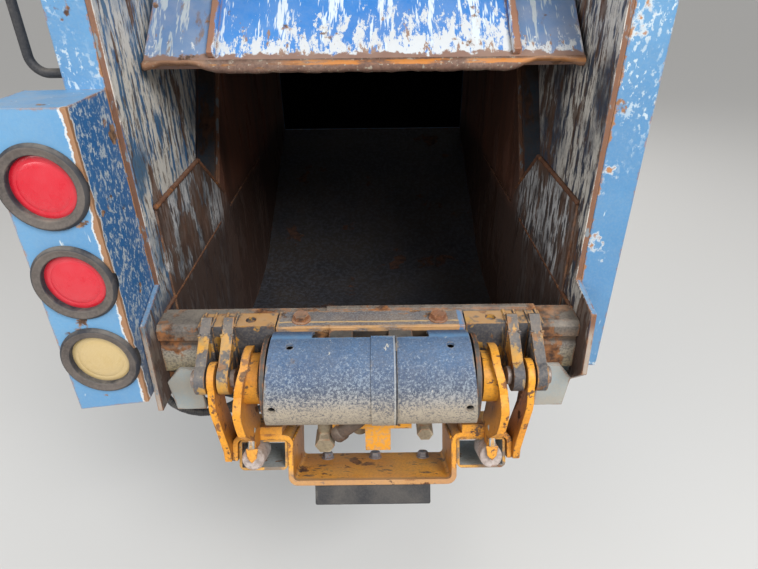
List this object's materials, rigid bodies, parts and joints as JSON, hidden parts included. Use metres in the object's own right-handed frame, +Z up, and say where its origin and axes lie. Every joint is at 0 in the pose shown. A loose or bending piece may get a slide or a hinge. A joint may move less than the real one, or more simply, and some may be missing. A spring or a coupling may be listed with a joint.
{
  "type": "garbage truck tailgate",
  "caption": "Rear-loading hopper tailgate of a narrow refuse body, with sliding packer, sweep blade, lamps and cart tipper.",
  "frame": {"origin": "middle of the top hinge axis, between the two hinge lugs", "axes": "+X along the hinge axis to the right seen from behind, +Y forward to the body, +Z up"},
  "size_m": [0.938, 1.7085, 2.2473],
  "materials": {
    "wall_paint": "scratched paint over rusty steel",
    "body_paint": "faded light blue paint",
    "sill_steel": "worn grey and rusty steel",
    "packer_paint": "blue paint, scratched and rusty at the edge",
    "worn_steel": "bare worn steel",
    "cylinder_paint": "black paint",
    "rod_chrome": "chromed rod",
    "lens_red": "red lens",
    "lens_clear": "yellowed clear lens",
    "black_rubber": "weathered rubber",
    "guard_paint": "dusty black paint",
    "tipper_yellow": "yellow paint, worn",
    "fitting_steel": "dusty plated steel"
  },
  "bodies": {
    "root": {"actuator_guard": "guard_paint", "grab_handle": "black_rubber", "hinge_lugs": "body_paint", "hood_panel": "body_paint", "hopper_floor": "wall_paint", "hydraulic_fittings": "fitting_steel", "hydraulic_hoses": "black_rubber", "lamp_box": "body_paint", "lamp_bracket": "sill_steel", "lamp_grommets": "black_rubber", "latch_lugs": "body_paint", "left_post": "body_paint", "left_side_wall": "wall_paint", "left_slide_track": "body_paint", "pivot_bolts": "worn_steel", "rear_sill": "sill_steel", "reverse_lamp": "lens_clear", "right_post": "body_paint", "right_side_wall": "wall_paint", "right_slide_track": "body_paint", "seal_frame": "body_paint", "sill_gussets": "sill_steel", "slide_rods": "rod_chrome", "stop_lamp": "lens_red", "tail_lamp": "lens_red", "tipper_actuator": "guard_paint", "tipper_brackets": "tipper_yellow", "tipper_mount_bar": "sill_steel", "upper_beam": "body_paint", "wear_liners": "wall_paint"},
    "slide": {"slide_panel": "packer_paint", "cylinder_anchors": "packer_paint", "sweep_pin": "worn_steel", "slide_shoes": "worn_steel", "slide_barrels": "cylinder_paint", "sweep_barrels": "cylinder_paint"},
    "sweep": {"sweep_panel": "packer_paint", "sweep_horns": "packer_paint", "sweep_lip": "worn_steel"},
    "sweep_rods": {"sweep_rods": "rod_chrome"},
    "tipper": {"drive_arms": "tipper_yellow", "outer_arms": "tipper_yellow", "tipper_saddle": "tipper_yellow", "pocket_tubes": "tipper_yellow", "saddle_studs": "worn_steel", "saddle_buffer": "black_rubber"}
  },
  "joints": [
    {"name": "packer_slide", "type": "slide", "parent": "root", "child": "slide", "axis": [0, -0.5299, -0.848], "range_m": [-0.25, 0.289]},
    {"name": "packer_sweep", "type": "hinge", "parent": "slide", "child": "sweep", "pos_m": [0, -0.627, -1.15], "axis": [1, 0, 0], "range_deg": [0, 95]},
    {"name": "sweep_rod_travel", "type": "slide", "parent": "slide", "child": "sweep_rods", "axis": [0, -0.5299, -0.848], "range_m": [0, 0.285]},
    {"name": "tipper_swing", "type": "hinge", "parent": "root", "child": "tipper", "pos_m": [0.005, -1.57, -1.87], "axis": [-1, 0, 0], "range_deg": [0, 150]}
  ],
  "couplings": [
    {"joint": "sweep_rod_travel", "follows": "packer_sweep", "m_per_rad": 0.169}
  ]
}
